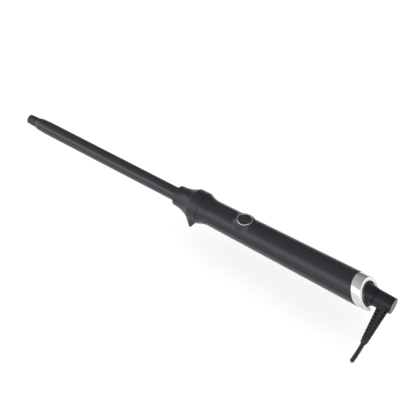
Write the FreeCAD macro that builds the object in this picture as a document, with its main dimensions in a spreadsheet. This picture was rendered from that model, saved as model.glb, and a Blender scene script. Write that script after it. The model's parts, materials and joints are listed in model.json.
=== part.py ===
import FreeCAD, Part
import math
import os
import re
import Sketcher

# A curling wand: a slim heated barrel on a round handle, with a cord that swivels at the rear.
# +X runs along the barrel's axis from the cool tip to the cord, +Z is the side of the button.
# The origin is on the axis, at the front face of the guard, where the bare barrel begins.

V = FreeCAD.Vector
doc = FreeCAD.newDocument("curling_wand")

# Driving dimensions, in millimetres. A slope is a radius or a distance per millimetre of length.
SIZES = {
    "barrel_radius": 7.0, "barrel_reach": 170.0, "barrel_bore": 5.6, "spigot_radius": 6.8,
    "spigot_end": 38.5, "shoulder_length": 14.5, "shoulder_radius": 5.45, "shoulder_top": 6.5,
    "tip_length": 11.5, "tip_radius": 4.95, "tip_edge": 1.1, "plug_radius": 4.0,
    "collar_radius": 10.25, "collar_edge": 1.3, "flare_start": 3.5, "flare_arc": 42.0,
    "guard_front": 21.3, "guard_rear": 31.6, "guard_radius": 15.95, "guard_cavity": 13.2,
    "foot_reach": 22.2, "foot_corner": 1.2, "foot_angle": 45.0, "foot_tip": 25.6, "foot_base": 15.7,
    "screw_circle": 10.9, "flange_front": 27.95,
    "neck_radius": 12.9, "neck_start": 44.0, "neck_arc": 25.0, "handle_taper": 0.0118,
    "shell_wall": 1.8, "seam_height": 1.8, "seam_gap": 0.35, "seam_start": 52.0, "seam_arc": 14.3,
    "lip_wall": 1.0, "lip_top": 4.4,
    "handle_end": 203.5, "slant": 0.485, "ring_width": 9.2, "ring_radius": 14.65, "ring_bore": 11.2,
    "notch_half": 4.8, "notch_front": 214.5, "ring_edge": 0.35, "insert_recess": 1.5, "insert_lip": 9.3,
    "nose_end": 219.0, "nose_radius": 8.5, "bush_bore": 6.0, "bush_radius": 7.4,
    "elbow_front": 219.4, "elbow_radius": 8.3, "elbow_end": 237.0, "elbow_end_radius": 7.6,
    "elbow_edge": 0.6, "cap_radius": 6.7, "cap_recess": 1.3, "shaft_front": 189.5, "wire_bore": 3.0,
    "boot_place": 229.6, "boot_turn": 119.0, "boot_root": 5.3, "boot_end": 42.0, "boot_neck": 3.9,
    "boot_slope": 0.064, "boot_start": 8.0, "boot_smooth": 39.0, "slot_first": 8.2, "slot_pitch": 3.25,
    "slot_width": 1.6, "slot_span": 4.0, "slot_core": 2.9, "slot_turn": 32.0,
    "cord_radius": 2.0, "cord_end": 60.5, "cord_bend": 150.0, "core_radius": 0.85, "core_place": 0.91,
    "core_length": 0.8, "copper_radius": 0.5, "copper_length": 0.7,
    "button_place": 78.5, "button_top": 14.05, "crown_arc": 40.0, "ring_out": 7.7, "ring_in": 6.55,
    "pad_base": 9.6, "button_gap": 0.1, "ledge_top": 12.4, "ledge_low": 11.9,
    "front_screw": 57.0, "rear_screw": 185.2, "front_post": 92.0, "rear_post": 145.0,
    "board_top": 4.0, "board_thick": 1.6, "board_front": 62.0, "board_rear": 180.0, "board_half": 8.0,
    "bar_reach": 172.0, "bar_length": 164.0, "bar_split": 0.7, "strip_half": 3.6, "groove_half": 0.7,
    "sensor_height": 4.78, "leaf_width": 2.0, "leaf_height": 7.2, "leaf_thick": 0.25,
    "first_ring": 190.6, "second_ring": 195.6, "clip_place": 200.8, "clip_bore": 5.2, "gap": 0.05,
}

HOUSING_SCREWS = ("front_screw", "rear_screw")
BOARD_POSTS = ("front_post", "rear_post")
SLIP_RINGS = ("first_ring", "second_ring")


# ---- the sheet and formulas ----------------------------------------------------------------------

def make_sheet():
    """Fill the sheet of driving dimensions, one row each."""
    cells = doc.addObject("Spreadsheet::Sheet", "sizes")
    for row, (alias, size) in enumerate(SIZES.items(), start=1):
        cells.set("A%d" % row, alias)
        cells.set("B%d" % row, str(size))
        cells.setAlias("B%d" % row, alias)
    doc.recompute()
    return cells


sheet = make_sheet()


def formula(text):
    """Point every alias in a formula at the sheet."""
    def point(word):
        return "sizes." + word.group() if word.group() in SIZES else word.group()

    return re.sub(r"[a-z]\w+", point, text)


def number(text):
    """Work a formula out from the sheet."""
    result = sheet.evalExpression(formula(str(text)))
    return float(getattr(result, "Value", result))


def bind(item, **settings):
    """Bind properties to formulas. Two underscores in a name stand for a dot."""
    for name, text in settings.items():
        item.setExpression(name.replace("__", "."), formula(str(text)))


# ---- sketched bodies -----------------------------------------------------------------------------

def add_outline(body, role, points):
    """Draw a closed sketch on one of the body's own origin planes.

    Each point is (x, y) or (x, y, radius): with a radius, the stretch to the next point is an arc
    that turns left, or right where the radius is negative."""
    sketch = body.newObject("Sketcher::SketchObject", body.Label + "_outline")
    plane = [item for item in body.Origin.OriginFeatures if item.Role == role][0]
    sketch.AttachmentSupport = [(plane, "")]
    sketch.MapMode = "FlatFace"
    places = [V(number(point[0]), number(point[1]), 0) for point in points]
    ends = []
    for index, point in enumerate(points):
        start, stop = places[index], places[(index + 1) % len(points)]
        radius = number(point[2]) if len(point) > 2 else 0
        if radius:
            chord = stop - start
            rise = math.sqrt(radius * radius - chord.Length ** 2 / 4)
            side = V(-chord.y, chord.x, 0).normalize() * math.copysign(rise, radius)
            centre = start + chord * 0.5 + side
            first, last = (start, stop) if radius > 0 else (stop, start)
            angles = [math.atan2(spot.y - centre.y, spot.x - centre.x) for spot in (first, last)]
            if angles[1] < angles[0]:
                angles[1] += 2 * math.pi
            circle = Part.Circle(centre, V(0, 0, 1), abs(radius))
            sketch.addGeometry(Part.ArcOfCircle(circle, angles[0], angles[1]), False)
            ends.append((1, 2) if radius > 0 else (2, 1))
            tie = sketch.addConstraint(Sketcher.Constraint("Radius", index, abs(radius)))
            sketch.setExpression("Constraints[%d]" % tie, formula("abs(%s)" % point[2]))
        else:
            sketch.addGeometry(Part.LineSegment(start, stop), False)
            ends.append((1, 2))
    for index, point in enumerate(points):
        follower = (index + 1) % len(points)
        joined = (index, ends[index][1], follower, ends[follower][0])
        sketch.addConstraint(Sketcher.Constraint("Coincident", *joined))
        spot = places[index]
        for kind, text, size in (("DistanceX", point[0], spot.x), ("DistanceY", point[1], spot.y)):
            tie = sketch.addConstraint(Sketcher.Constraint(kind, -1, 1, index, ends[index][0], size))
            sketch.setExpression("Constraints[%d]" % tie, formula(str(text)))
    return sketch


def new_body(label):
    body = doc.addObject("PartDesign::Body", label)
    body.Label = label
    return body


def turned(label, points, axis="H_Axis"):
    """A body turned from an outline in the upright plane, about the wand's axis or the upright one."""
    body = new_body(label)
    turn = body.newObject("PartDesign::Revolution", label + "_turn")
    turn.Profile = add_outline(body, "XZ_Plane", points)
    turn.ReferenceAxis = (turn.Profile[0], [axis])
    turn.Angle = 360
    return body


def padded(label, role, points, length, both_ways=True):
    """A body padded from an outline on an origin plane."""
    body = new_body(label)
    pad = body.newObject("PartDesign::Pad", label + "_pad")
    pad.Profile = add_outline(body, role, points)
    pad.Midplane = both_ways
    bind(pad, Length=length)
    return body


# ---- primitives and booleans ---------------------------------------------------------------------

TURNS = {
    "X": (V(0, 1, 0), 90), "-X": (V(0, 1, 0), -90), "-Y": (V(1, 0, 0), 90),
    "Z": (V(0, 0, 1), 0), "-Z": (V(1, 0, 0), 180),
}


def place(item, x, y, z, along="Z"):
    """Point an upright primitive along an axis and bind each of its coordinates that isn't zero."""
    item.Placement = FreeCAD.Placement(V(0, 0, 0), FreeCAD.Rotation(*TURNS[along]))
    for axis, text in (("x", x), ("y", y), ("z", z)):
        if str(text) != "0":
            bind(item, **{"Placement__Base__" + axis: text})
    return item


def cylinder(label, radius, length, x=0, y=0, z=0, along="Z"):
    item = doc.addObject("Part::Cylinder", label)
    bind(item, Radius=radius, Height=length)
    return place(item, x, y, z, along)


def cone(label, start_radius, end_radius, length, x=0, y=0, z=0, along="Z"):
    item = doc.addObject("Part::Cone", label)
    bind(item, Radius1=start_radius, Radius2=end_radius, Height=length)
    return place(item, x, y, z, along)


def block(label, x, y, z):
    """A box from three pairs of (low, high) formulas."""
    item = doc.addObject("Part::Box", label)
    sides = {"Length": x, "Width": y, "Height": z}
    bind(item, **{side: "(%s) - (%s)" % (high, low) for side, (low, high) in sides.items()})
    return place(item, x[0], y[0], z[0])


def fused(label, *shapes):
    item = doc.addObject("Part::MultiFuse", label)
    item.Shapes = list(shapes)
    return item


def shared(label, base, tool):
    item = doc.addObject("Part::Common", label)
    item.Base = base
    item.Tool = tool
    return item


def without(label, base, *tools):
    """The base with every tool cut away."""
    item = doc.addObject("Part::Cut", label)
    item.Base = base
    item.Tool = tools[0] if len(tools) == 1 else fused(label + "_tools", *tools)
    return item


def ring_of(label, count, make):
    """Copies of one shape at equal angles about the wand's axis."""
    copies = []
    for index in range(count):
        copy = make("%s_%d" % (label, index + 1))
        turned_copy = group(copy.Name + "_turned", [copy])
        spin = FreeCAD.Rotation(V(1, 0, 0), 360.0 * index / count)
        turned_copy.Placement = FreeCAD.Placement(V(0, 0, 0), spin)
        copies.append(turned_copy)
    return copies


def group(label, shapes):
    """Several separate solids in one piece's file."""
    item = doc.addObject("Part::Compound", label)
    item.Links = list(shapes)
    return item


def round_bar(path, radius):
    """A solid round bar along a wire, square at both ends."""
    start = path.OrderedEdges[0]
    heading = start.tangentAt(start.FirstParameter)
    mouth = Part.Wire([Part.Circle(path.OrderedVertexes[0].Point, heading, radius).toShape()])
    return path.makePipeShell([mouth], True, True)


def smooth_wire(points):
    curve = Part.BSplineCurve()
    curve.interpolate([V(*point) for point in points])
    return Part.Wire([curve.toShape()])


def wires(label, paths, radius):
    """A group of freely bent wires, whose shape is set here because no feature bends a wire freely."""
    item = doc.addObject("Part::Feature", label)
    item.Shape = Part.makeCompound([round_bar(smooth_wire(path), radius) for path in paths])
    return item


def screw(label, head_radius, head_height, shank_radius, length, x=0, y=0, z=0, along="Z"):
    """A pan-head screw with its head's top at the given place and its shank along the given way."""
    way = {"X": (1, 0, 0), "-X": (-1, 0, 0), "Z": (0, 0, 1), "-Z": (0, 0, -1)}[along]
    head = cylinder(label + "_head", head_radius, head_height, x, y, z, along)
    seat = ["(%s) + %s * (%s)" % (base, step, head_height) for base, step in zip((x, y, z), way)]
    shank = cylinder(label + "_shank", shank_radius, length, seat[0], seat[1], seat[2], along)
    drive = cylinder(label + "_drive", "%s * 0.45" % head_radius, "%s * 0.6" % head_height, x, y, z, along)
    return without(label, fused(label + "_blank", head, shank), drive)


# ---- barrel and guard ----------------------------------------------------------------------------

def make_barrel():
    """The tube narrows through a rounded shoulder to the cool tip, and its spigot enters the guard."""
    reach = "-barrel_reach"
    tip_face = "-barrel_reach - shoulder_length"
    turned("barrel_tube", [
        (tip_face, "plug_radius + 0.1"), (tip_face, "shoulder_radius", "-12"),
        (tip_face + " + 4", "shoulder_top", "-110"), (reach, "barrel_radius"), ("0", "barrel_radius"),
        ("0", "spigot_radius"), ("spigot_end", "spigot_radius"), ("spigot_end", "barrel_bore"),
        (tip_face + " + 6.5", "barrel_bore"), (tip_face + " + 3", "plug_radius + 0.1")])


def make_cool_tip():
    """A cap with a plug that snaps into the barrel's front opening."""
    root = "-barrel_reach - shoulder_length - gap"
    face = "-barrel_reach - shoulder_length - tip_length"
    turned("cool_tip", [
        (face, "0"), (face, "tip_radius - tip_edge", "-tip_edge"), (face + " + tip_edge", "tip_radius"),
        (root, "shoulder_radius - 0.05"), (root, "plug_radius"), (root + " + 4.5", "plug_radius"),
        (root + " + 5.5", "plug_radius + 0.5"), (root + " + 7", "plug_radius + 0.5"),
        (root + " + 9", "plug_radius - 0.6"), (root + " + 9", "0")])


def make_guard():
    """A collar that flares into a band, with two feet, a flat base and three screw bosses inside."""
    flare = turned("guard_flare", [
        ("0", "barrel_radius + gap"), ("0", "collar_radius - collar_edge", "-collar_edge"),
        ("collar_edge", "collar_radius"), ("flare_start", "collar_radius + 0.12", "flare_arc"),
        ("guard_front - 0.3", "guard_radius - 0.15"), ("guard_front + 0.3", "guard_radius"),
        ("guard_rear - 0.4", "guard_radius", "-0.4"), ("guard_rear", "guard_radius - 0.4"),
        ("guard_rear", "guard_cavity"), ("20", "guard_cavity"), ("16.5", "guard_cavity - 1.6"),
        ("9", "collar_radius - 1.1"), ("2.5", "barrel_radius + 1.3"), ("2.5", "barrel_radius + gap")])
    wedge = turned("foot_wedge", [
        ("14", "10"), ("guard_front - 4.4", "guard_radius - 1.7"), ("foot_tip - 0.6", "foot_reach"),
        ("foot_tip + 0.8", "foot_reach"), ("guard_rear - 1.6", "guard_radius - 1"),
        ("guard_rear - 1.6", "10")])
    cavity = turned("guard_hollow", [
        ("8", "0"), ("8", "collar_radius - 1.6"), ("16.5", "guard_cavity - 1.6"), ("20", "guard_cavity"),
        ("guard_rear + 5", "guard_cavity"), ("guard_rear + 5", "0")])
    # A foot's cross-section is the small corner circle with its two tangents to the band's circle.
    spread = "acos((guard_radius - foot_corner) / (foot_reach - foot_corner))"
    root_x, root_y = "guard_radius * sin(%s)" % spread, "-guard_radius * cos(%s)" % spread
    tip_x = "foot_corner * sin(%s)" % spread
    tip_y = "-(foot_reach - foot_corner) - foot_corner * cos(%s)" % spread
    feet = []
    for side in (-1, 1):
        label = "near_foot" if side < 0 else "far_foot"
        bar = padded(label + "_bar", "YZ_Plane", [
            ("-" + root_x, root_y), ("-" + tip_x, tip_y, "foot_corner"), (tip_x, tip_y),
            (root_x, root_y)], "100")
        lean = FreeCAD.Rotation(V(1, 0, 0), side * number("foot_angle"))
        bar.Placement = FreeCAD.Placement(V(0, 0, 0), lean)
        feet.append(bar)
    corners = shared("foot_corners", fused("foot_bars", *feet), wedge)
    solid_feet = without("feet", corners, cavity)
    base = block("base_cut", ("10", "40"), ("-20", "20"), ("-30", "-foot_base"))

    def boss(label):
        return cylinder(label, "2.5", "flange_front - 17.05", "17", "0", "screw_circle", "X")

    def pilot(label):
        return cylinder(label, "1.25", "12", "19.5", "0", "screw_circle", "X")

    body = fused("guard_blank", flare, solid_feet, *ring_of("guard_boss", 3, boss))
    without("barrel_guard", body, base, *ring_of("guard_pilot", 3, pilot))


def make_socket():
    """A heat-proof sleeve that grips the barrel's spigot, with one flange for the guard and one
    that the handle shells trap."""
    sleeve = turned("socket_sleeve", [
        ("4", "spigot_radius + gap"), ("4", "8"), ("flange_front", "8"),
        ("flange_front", "guard_cavity - 0.1"),
        ("guard_rear - 0.1", "guard_cavity - 0.1"), ("guard_rear - 0.1", "9.5"), ("36.1", "9.5"),
        ("36.1", "10.9"), ("38.9", "10.9"), ("38.9", "spigot_radius + gap")])

    def hole(label):
        shank = cylinder(label + "_shank", "1.3", "10", "25", "0", "screw_circle", "X")
        head = cylinder(label + "_head", "1.9", "4", "29.9", "0", "screw_circle", "X")
        return fused(label, shank, head)

    without("barrel_socket", sleeve, *ring_of("socket_hole", 3, hole))

    def guard_screw(label):
        return screw(label, "1.85", "1.4", "1.2", "8.5", "31.35", "0", "screw_circle", "-X")

    group("guard_screws", ring_of("guard_screw", 3, guard_screw))


# ---- heater --------------------------------------------------------------------------------------

def half_bar(label, low, high):
    """The part of the heater's round bar between two heights."""
    whole = cylinder(label + "_round", "barrel_bore - 0.1", "bar_length", "-bar_reach", "0", "0", "X")
    return shared(label, whole, block(label + "_room", ("-180", "0"), ("-8", "8"), (low, high)))


def make_heater():
    """A flat ceramic heater between two half-round bars, with a sensor in a groove of the upper one."""
    block("heater_strip", ("-165", "-12"), ("-strip_half", "strip_half"), ("-0.65", "0.65"))
    groove = block("sensor_groove", ("-96", "0"), ("-groove_half", "groove_half"), ("4.1", "8"))
    without("heat_spreader_upper", half_bar("upper_bar", "bar_split", "8"), groove)
    half_bar("heat_spreader_lower", "-8", "-bar_split")
    cylinder("thermal_fuse", "1.8", "9", "8", "2.9", "0", "X")
    bead = cylinder("sensor_bead", "0.62", "3", "-95", "0", "sensor_height", "X")
    height = number("sensor_height")
    lead = wires("sensor_lead", [[
        (-92.1, 0, height), (-50, 0, height), (-6, 0, height), (20, 0.6, 4.7), (37, 1.4, 4.5),
        (48, 2.6, 6), (57, 4.6, 7), (65, 5.6, 5.4), (69, 6.2, 4.6)]], 0.5)
    fused("thermistor", bead, lead)
    to_fuse = [(-11.95, 2.2, 0), (-6, 2.4, 0), (0, 2.9, 0), (7.95, 2.9, 0)]
    from_fuse = [
        (17.05, 2.9, 0), (27, 3.2, 0.8), (38, 3.2, 3), (46, 3.9, 4.3), (57, 4.5, 4.8), (67, 4.0, 4.75)]
    straight_back = [(-11.95, -2.2, 0), (0, -2.8, 0)] + [(x, -y, z) for x, y, z in from_fuse[1:]]
    wires("heater_leads", [to_fuse, from_fuse, straight_back], 0.6)


# ---- handle --------------------------------------------------------------------------------------

def handle_radius(x):
    return "neck_radius + handle_taper * ((%s) - neck_start)" % x


def handle_form(label, inset, front, rear):
    """A solid of the tapering handle, drawn in from its outside by the inset."""
    outline = [(front, "0"), (front, handle_radius(front) + " - (%s)" % inset),
               (rear, handle_radius(rear) + " - (%s)" % inset), (rear, "0")]
    return turned(label, outline)


def shell_blank(label):
    """The closed tube that the two handle shells are divided from, with its flared front."""
    front = "guard_rear + 0.1"
    outer = turned(label + "_outer", [
        (front, "0"), (front, "guard_radius - 0.25"),
        ("guard_rear + 0.6", "guard_radius - 0.25", "neck_arc"),
        ("neck_start", "neck_radius"), ("235", handle_radius("235")), ("235", "0")])
    wide = "neck_radius - shell_wall - 0.1"
    inner = turned(label + "_inner", [
        ("20", "0"), ("20", "9.6"), ("36", "9.6"), ("36", "11"), ("neck_start", wide),
        ("240", handle_radius("240") + " - shell_wall - 0.1"), ("240", "0")])
    return without(label, outer, inner, behind_slant(label + "_behind", "handle_end - 0.15"))


def below_seam(label, margin):
    """Everything on the lower shell's side of the seam, which curves down and forward at its front."""
    front = "seam_start - seam_arc - (%s)" % margin
    return padded(label, "XZ_Plane", [
        (front, "-20"), (front, "seam_height - seam_arc", "-(seam_arc + (%s))" % margin),
        ("seam_start", "seam_height + (%s)" % margin), ("240", "seam_height + (%s)" % margin),
        ("240", "-20")], "60")


def make_button_seat():
    """The raised seat of the button: a drafted boss with a slightly crowned top."""
    boss = cone("seat_boss", "pad_base", "ring_out + 0.3", "button_top - 9", "button_place", "0", "9")
    crown = cylinder("seat_crown", "crown_arc", "40", "button_place - 20", "0",
                     "button_top - crown_arc", "X")
    return shared("button_seat", boss, crown)


def make_upper_shell():
    seat_hole = cylinder("ring_hole", "ring_out + gap", "5", "button_place", "0", "ledge_top")
    cap_hole = cylinder("cap_hole", "ring_in + gap", "10", "button_place", "0", "8")
    flange_room = cylinder("flange_room", "ring_in + 1.05", "ledge_low - 6", "button_place", "0", "6")
    hollow = handle_form("seat_hollow", "shell_wall + 0.1", "60", "100")
    seat = without("seat_shell", make_button_seat(), hollow)
    blank = fused("upper_blank", shell_blank("upper_tube"), seat)
    bosses = [shared("upper_boss_%d" % index,
                     cylinder("upper_boss_rod_%d" % index, "2.9", "14", x, "0", "-1"),
                     handle_form("upper_boss_room_%d" % index, "shell_wall * 0.5", "50", "200"))
              for index, x in enumerate(HOUSING_SCREWS, start=1)]
    opened = without("upper_open", blank, below_seam("upper_seam", "seam_gap"),
                     seat_hole, cap_hole, flange_room)
    pilots = [cylinder("upper_pilot_%d" % index, "1.25", "9", x, "0", "-2")
              for index, x in enumerate(HOUSING_SCREWS, start=1)]
    without("handle_upper_shell", fused("upper_whole", opened, *bosses), *pilots)


def make_lower_shell():
    """The lower shell has a lip that stands inside the upper one and closes the seam to light."""
    divided = shared("lower_part", shell_blank("lower_tube"), below_seam("lower_seam", "0"))
    band = without("lip_band", handle_form("lip_outer", "shell_wall + 0.15", "55", "183"),
                   handle_form("lip_inner", "shell_wall + 0.15 + lip_wall", "50", "190"))
    lip = shared("lip", band, block("lip_room", ("50", "190"), ("-16", "16"), ("-3", "lip_top")))
    root = without("lip_root", handle_form("root_outer", "shell_wall * 0.6", "55", "183"),
                   handle_form("root_inner", "shell_wall + 0.15 + lip_wall", "50", "190"))
    anchor_room = block("anchor_room", ("50", "190"), ("-16", "16"), ("-3", "seam_height - 0.6"))
    anchor = shared("lip_anchor", root, anchor_room)
    bosses = [shared("lower_boss_%d" % index,
                     cylinder("lower_boss_rod_%d" % index, "3.6", "14", x, "0", "-1.1", "-Z"),
                     handle_form("lower_boss_room_%d" % index, "shell_wall * 0.5", "50", "200"))
              for index, x in enumerate(HOUSING_SCREWS, start=1)]
    whole = fused("lower_whole", divided, lip, anchor, *bosses)
    holes = []
    for index, x in enumerate(HOUSING_SCREWS, start=1):
        holes.append(cylinder("screw_hole_%d" % index, "1.5", "14", x, "0", "-13"))
        holes.append(cylinder("screw_recess_%d" % index, "2.6", "10", x, "0", "-5", "-Z"))
    without("handle_lower_shell", whole, *holes)
    group("housing_screws", [
        screw("housing_screw_%d" % index, "2.45", "1.5", "1.2", "8.5", x, "0", "-6.55", "Z")
        for index, x in enumerate(HOUSING_SCREWS, start=1)])


# ---- button --------------------------------------------------------------------------------------

def make_button():
    """A chrome ring pressed into the seat, and a cap that slides in it. Both follow the seat's crown."""
    ring_blank = without("ring_blank",
                         cylinder("ring_rod", "ring_out", "4", "button_place", "0", "ledge_top"),
                         cylinder("ring_hollow", "ring_in", "6", "button_place", "0", "ledge_top - 1"))
    ring_crown = cylinder("ring_crown", "crown_arc", "40", "button_place - 20", "0",
                          "button_top + 0.15 - crown_arc", "X")
    shared("button_ring", ring_blank, ring_crown)
    cap_rod = cylinder("cap_rod", "ring_in - button_gap", "4", "button_place", "0", "ledge_low - 1")
    cap_crown = cylinder("cap_crown", "crown_arc", "40", "button_place - 20", "0",
                         "button_top - 0.2 - crown_arc", "X")
    flange = cylinder("cap_flange", "ring_in + 0.7", "0.9", "button_place", "0", "ledge_low - 1 - gap")
    stem = cylinder("cap_stem", "1.6", "ledge_low - 0.9 - board_top - 4.52", "button_place", "0",
                    "board_top + 4.52")
    fused("button_cap", shared("cap_top", cap_rod, cap_crown), flange, stem)
    body = block("switch_body", ("button_place - 3", "button_place + 3"), ("-3", "3"),
                 ("board_top", "board_top + 3.6"))
    well = cylinder("switch_well", "1.75", "5", "button_place", "0", "board_top + 1")
    without("tactile_switch", body, well)
    cylinder("switch_plunger", "1.68", "2.9", "button_place", "0", "board_top + 1.6")


# ---- electronics ---------------------------------------------------------------------------------

def make_board():
    """The control board on its carrier, held by two screws."""
    low = "board_top - board_thick"
    tray = block("tray", ("41", "board_rear + 2"), ("-8.7", "8.7"), ("0.9", low))
    spans = {"near": ("-8.7", "-board_half - gap"), "far": ("board_half + gap", "8.7")}
    rails = [block("rail_" + side, ("62", "board_rear + 2"), span, ("0.9", "board_top + 0.4"))
             for side, span in spans.items()]
    front = without("carrier_front", cylinder("front_disc", "10.7", "2.5", "39", "0", "0", "X"),
                    cylinder("front_hole", "7", "4", "38", "0", "0", "X"))
    link = without("carrier_link", cylinder("link_tube", "9.3", "8", "40", "0", "0", "X"),
                   cylinder("link_hole", "7.6", "12", "39", "0", "0", "X"),
                   block("link_cut", ("39", "50"), ("-12", "12"), ("2", "12")),
                   block("link_low", ("42", "50"), ("-12", "12"), ("-12", "0.2")))
    posts = [cylinder("post_%d" % index, "2.3", "%s + 1.5" % low, x, "0", "-1.5")
             for index, x in enumerate(BOARD_POSTS, start=1)]
    pilots = [cylinder("post_hole_%d" % index, "1.05", "8", x, "0", "-1")
              for index, x in enumerate(BOARD_POSTS, start=1)]
    clear = cylinder("boss_room", "4", "8", HOUSING_SCREWS[0], "0", "-2")
    without("board_carrier", fused("carrier_blank", tray, front, link, *rails, *posts), clear, *pilots)
    board = block("board_plate", ("board_front", "board_rear"), ("-board_half", "board_half"),
                  (low, "board_top"))
    drills = [cylinder("board_drill_%d" % index, "1.1", "8", x, "0", "-1")
              for index, x in enumerate(BOARD_POSTS, start=1)]
    without("circuit_board", board, *drills)
    group("board_screws", [
        screw("board_screw_%d" % index, "1.9", "1.2", "1", "5", x, "0", "board_top + 1.2", "-Z")
        for index, x in enumerate(BOARD_POSTS, start=1)])


def on_board(label, x, y, height):
    """A component that stands on the board."""
    return block(label, x, y, ("board_top", "board_top + %s" % height))


def make_components():
    on_board("status_led", ("82.2", "83.8"), ("-0.6", "0.6"), "0.7")
    legs = [on_board("leg_%d_%d" % (row, step), ("98.8 + %s" % (row * 8.4), "99.8 + %s" % (row * 8.4)),
                     ("%s" % (step * 1.1 - 3.1), "%s" % (step * 1.1 - 2.5)), "0.5")
            for row in (0, 1) for step in range(6)]
    fused("microcontroller", on_board("chip", ("99.6", "107.4"), ("-3.6", "3.6"), "1.4"), *legs)
    sounder = cylinder("sounder", "4.4", "3.8", "115", "0", "board_top")
    without("buzzer", sounder, cylinder("sound_hole", "0.8", "2", "115", "0", "board_top + 3"))
    tab = on_board("triac_tab", ("122", "137"), ("-5", "5"), "1.3")
    pins = [block("triac_pin_%d" % index, ("120", "123"), ("%s - 0.4" % y, "%s + 0.4" % y),
                  ("board_top", "board_top + 1.6")) for index, y in enumerate(("-2.5", "0", "2.5"), start=1)]
    fused("triac", on_board("triac_body", ("122", "131"), ("-5", "5"), "4.4"), tab, *pins)
    fins = [block("fin_%d" % step, ("123", "140"), ("%s" % (step * 2.4 - 5.2), "%s" % (step * 2.4 - 4.4)),
                  ("board_top + 5.4", "board_top + 6.6")) for step in range(5)]
    plate = block("fin_plate", ("123", "140"), ("-5.2", "5.2"), ("board_top + 4.42", "board_top + 5.5"))
    fused("triac_heatsink", plate, *fins, block("sink_leg", ("138.2", "140"), ("-5.2", "5.2"),
                                                ("board_top", "board_top + 5")))
    on_board("film_capacitor", ("149", "161"), ("-4.4", "4.4"), "6.2")
    fuse = cylinder("fuse_body", "1.7", "8", "164.5", "4", "board_top + 2.2", "-Y")
    fuse_legs = [block("fuse_leg_%d" % index, ("164.2", "164.8"), span, ("board_top", "board_top + 2.4"))
                 for index, span in enumerate((("-4.6", "-3.9"), ("3.9", "4.6")), start=1)]
    fused("mains_fuse", fuse, *fuse_legs)
    posts = [cylinder("clamp_hole_%d" % index, "1.1", "6", "171.5", y, "board_top + 3")
             for index, y in enumerate(("-3.2", "3.2"), start=1)]
    mouths = [cylinder("clamp_mouth_%d" % index, "1", "4", "174", y, "board_top + 2", "X")
              for index, y in enumerate(("-3.2", "3.2"), start=1)]
    without("terminal_block", on_board("terminal_body", ("168", "176"), ("-6", "6"), "6"), *posts, *mouths)


# ---- rear end and swivel -------------------------------------------------------------------------

def make_end_ring():
    """A thick ring cut on the slant, with a notch through the middle of its long underside."""
    tube = turned("ring_tube", [
        ("190", "ring_bore"), ("190", "ring_radius"), ("235", "ring_radius"), ("235", "ring_bore")])
    slab = padded("ring_slab", "XZ_Plane", [
        ("handle_end - slant * 20", "20"), ("handle_end + ring_width - slant * 20", "20"),
        ("handle_end + ring_width + slant * 20", "-20"), ("handle_end + slant * 20", "-20")], "60")
    notch = block("ring_notch", ("notch_front", "230"), ("-notch_half", "notch_half"), ("-20", "-6"))
    cut = without("ring_cut", shared("ring_whole", tube, slab), notch)
    doc.recompute()
    edges = []
    for index, edge in enumerate(cut.Shape.Edges, start=1):
        middle = edge.valueAt((edge.FirstParameter + edge.LastParameter) / 2)
        from_axis = math.hypot(middle.y, middle.z)
        rear = middle.x > number("handle_end + 3") - number("slant") * middle.z
        if rear and from_axis > number("ring_bore") - 0.1:
            edges.append((index, number("ring_edge"), number("ring_edge")))
    rounded = doc.addObject("Part::Fillet", "end_ring")
    rounded.Base = cut
    rounded.Edges = edges


def behind_slant(label, crossing):
    """Everything to the rear of a slanted plane that crosses the axis at the given place."""
    return padded(label, "XZ_Plane", [
        (crossing + " - slant * 20", "20"), ("260", "20"), ("260", "-20"),
        (crossing + " + slant * 20", "-20")], "60")


def make_insert():
    """The nose inside the ring: a flange in the handle, a slanted shoulder and a cone for the swivel."""
    bore = "bush_radius + gap"
    flange = without("insert_flange", turned("flange_turn", [
        ("202", bore), ("202", "12.7"), ("222", "12.7"), ("222", bore)]),
        behind_slant("past_seam", "handle_end - gap"))
    shoulder = without("insert_shoulder", turned("shoulder_turn", [
        ("203", bore), ("203", "ring_bore - gap"), ("nose_end - 0.2", "ring_bore - gap"),
        ("nose_end - 0.2", bore)]),
        behind_slant("past_face", "handle_end + ring_width - insert_recess"))
    nose = turned("insert_nose", [
        ("204", bore), ("204", "insert_lip"), ("nose_end - 5", "insert_lip"),
        ("nose_end - 0.6", "nose_radius"), ("nose_end", "nose_radius - 0.4"), ("nose_end", bore)])
    fused("end_insert", flange, shoulder, nose)


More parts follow.
